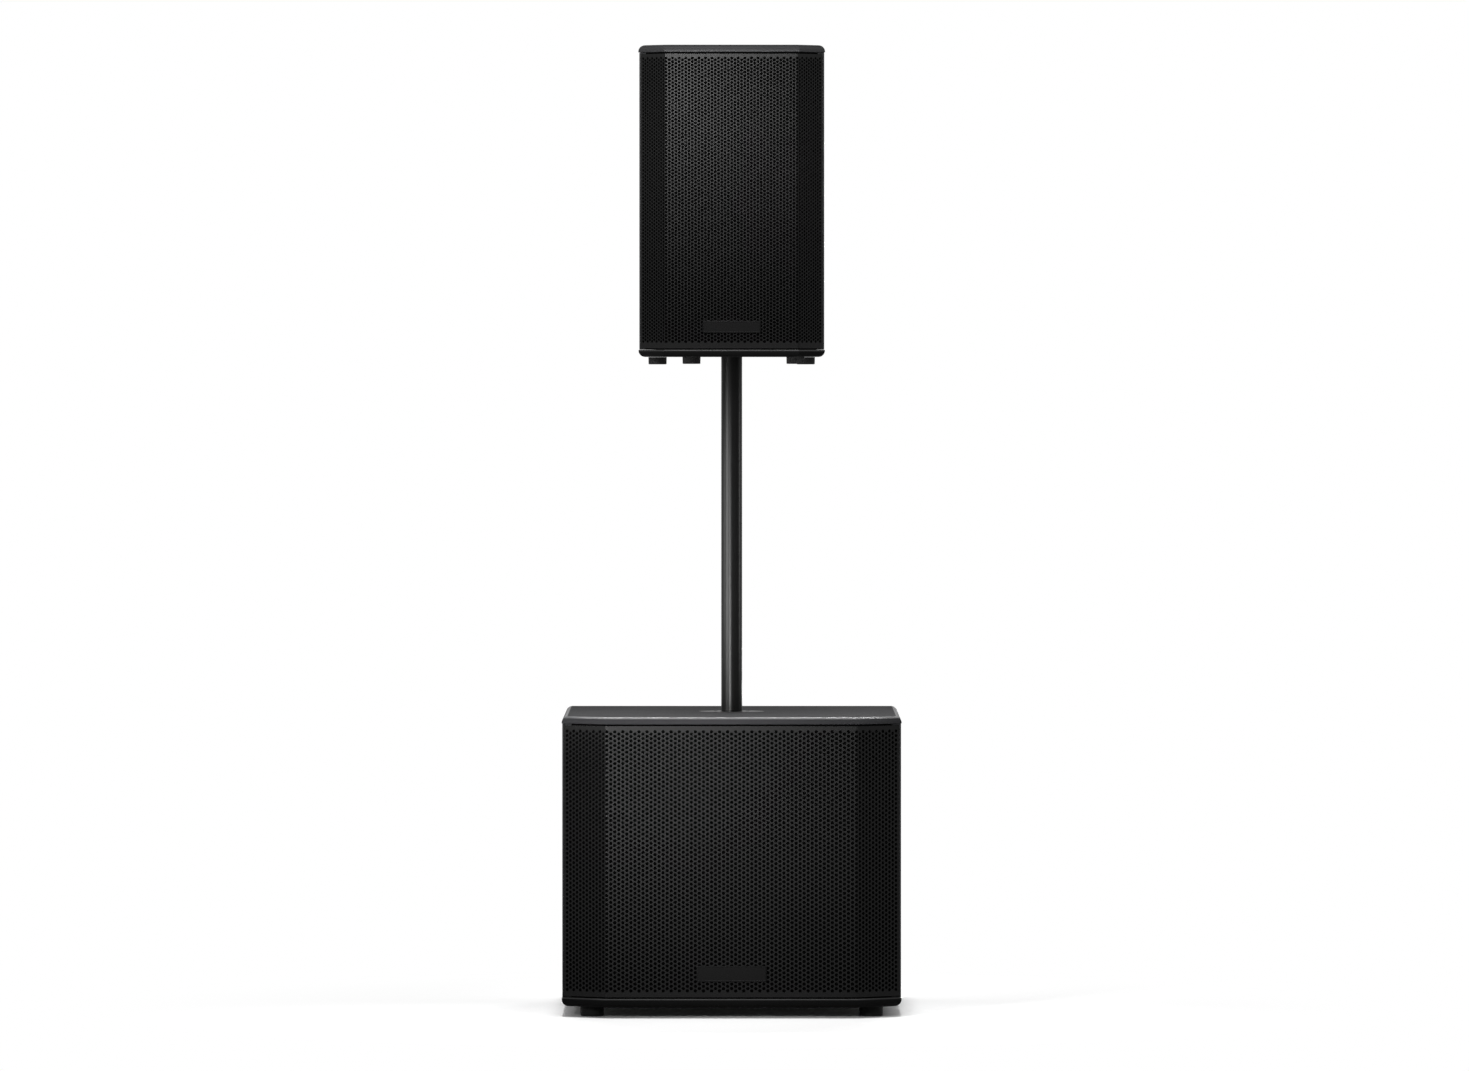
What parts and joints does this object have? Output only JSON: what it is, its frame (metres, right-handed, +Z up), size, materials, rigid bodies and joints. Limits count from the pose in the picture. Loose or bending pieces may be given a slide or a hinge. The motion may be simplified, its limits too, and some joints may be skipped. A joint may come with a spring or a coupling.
{
  "type": "pa speaker",
  "caption": "Powered PA set: a two-way speaker with a faceted perforated grille, swivelling on a round pole that stands in a matching subwoofer.",
  "frame": {"origin": "on the floor, under the middle of the subwoofer", "axes": "+Z up along the pole, the grilles face -Y, +X to the right seen from the front"},
  "size_m": [0.56, 0.58, 1.603],
  "materials": {
    "textured_paint": "black textured paint on plywood",
    "coated_steel": "black powder coat",
    "satin_tube": "satin black",
    "foam": "open-cell foam",
    "rubber": "matt",
    "plastic": "fine moulded texture",
    "plywood": "bare",
    "cast_alloy": "as cast",
    "ferrite": "ground",
    "plated_steel": "zinc plated",
    "paper": "pressed paper",
    "circuit": "circuit board"
  },
  "bodies": {
    "sub": {"sub_top_panel": "textured_paint", "sub_bottom_panel": "textured_paint", "sub_left_side": "textured_paint", "sub_right_side": "textured_paint", "sub_rear_panel": "textured_paint", "sub_baffle": "plywood", "sub_port_left": "plastic", "sub_port_right": "plastic", "sub_grille": "coated_steel", "sub_grille_foam": "foam", "sub_badge": "coated_steel", "sub_foot_front_left": "rubber", "sub_foot_front_right": "rubber", "sub_foot_rear_left": "rubber", "sub_foot_rear_right": "rubber", "sub_pole_cup": "plastic", "sub_woofer_basket": "cast_alloy", "sub_woofer_magnet": "ferrite", "sub_woofer_yoke": "plated_steel", "sub_woofer_surround": "rubber", "sub_amp_tray": "coated_steel", "sub_amp_board": "circuit", "sub_socket_block": "plastic", "sub_mains_inlet": "plastic", "sub_handle_left": "plastic", "sub_handle_right": "plastic"},
    "sub_cone": {"sub_woofer_cone": "paper"},
    "sub_level": {"sub_level_knob": "plastic"},
    "sub_mode": {"sub_mode_button": "plastic"},
    "sub_power": {"sub_power_switch": "plastic"},
    "pole": {"pole_tube": "satin_tube"},
    "pole_head": {"pole_cap": "plastic"},
    "upper": {"upper_top_panel": "textured_paint", "upper_bottom_panel": "textured_paint", "upper_left_side": "textured_paint", "upper_right_side": "textured_paint", "upper_rear_panel": "textured_paint", "upper_baffle": "plywood", "upper_grille": "coated_steel", "upper_grille_foam": "foam", "upper_badge": "coated_steel", "upper_foot_front_left": "rubber", "upper_foot_front_right": "rubber", "upper_foot_rear_left": "rubber", "upper_foot_rear_right": "rubber", "upper_pole_cup": "plastic", "upper_woofer_basket": "cast_alloy", "upper_woofer_motor": "plated_steel", "upper_woofer_surround": "rubber", "upper_horn": "plastic", "upper_compression_driver": "ferrite", "upper_amp_tray": "coated_steel", "upper_amp_board": "circuit", "upper_socket_block": "plastic", "upper_mains_inlet": "plastic", "upper_handle": "plastic"},
    "upper_cone": {"upper_woofer_cone": "paper"},
    "upper_level": {"upper_level_knob": "plastic"},
    "upper_mode": {"upper_mode_button": "plastic"},
    "upper_power": {"upper_power_switch": "plastic"}
  },
  "joints": [
    {"name": "pole_lift", "type": "slide", "parent": "sub", "child": "pole", "axis": [0, 0, 1], "range_m": [0, 0.09]},
    {"name": "speaker_swivel", "type": "hinge", "parent": "pole", "child": "pole_head", "pos_m": [0, 0.015, 1.15], "axis": [0, 0, 1], "continuous": true},
    {"name": "speaker_lift", "type": "slide", "parent": "pole_head", "child": "upper", "axis": [0, 0, 1], "range_m": [0, 0.08]},
    {"name": "sub_cone_stroke", "type": "slide", "parent": "sub", "child": "sub_cone", "axis": [0, -1, 0], "range_m": [-0.008, 0.008], "stiffness_N_per_m": 3000, "deforming": ["sub_woofer_surround"]},
    {"name": "sub_level_turn", "type": "hinge", "parent": "sub", "child": "sub_level", "pos_m": [-0.06, 0.2633, 0.311], "axis": [0, 1, 0], "range_deg": [-150, 150]},
    {"name": "sub_mode_press", "type": "slide", "parent": "sub", "child": "sub_mode", "axis": [0, -1, 0], "range_m": [0, 0.002], "stiffness_N_per_m": 400},
    {"name": "sub_power_rock", "type": "hinge", "parent": "sub", "child": "sub_power", "pos_m": [-0.05, 0.2633, 0.196], "axis": [-1, 0, 0], "range_deg": [0, 14]},
    {"name": "upper_cone_stroke", "type": "slide", "parent": "upper", "child": "upper_cone", "axis": [0, -1, 0], "range_m": [-0.005, 0.005], "stiffness_N_per_m": 3000, "deforming": ["upper_woofer_surround"]},
    {"name": "upper_level_turn", "type": "hinge", "parent": "upper", "child": "upper_level", "pos_m": [0.05, 0.1583, 1.3645], "axis": [0, 1, 0], "range_deg": [-150, 150]},
    {"name": "upper_mode_press", "type": "slide", "parent": "upper", "child": "upper_mode", "axis": [0, -1, 0], "range_m": [0, 0.002], "stiffness_N_per_m": 400},
    {"name": "upper_power_rock", "type": "hinge", "parent": "upper", "child": "upper_power", "pos_m": [0.06, 0.1583, 1.2595], "axis": [-1, 0, 0], "range_deg": [0, 14]}
  ]
}
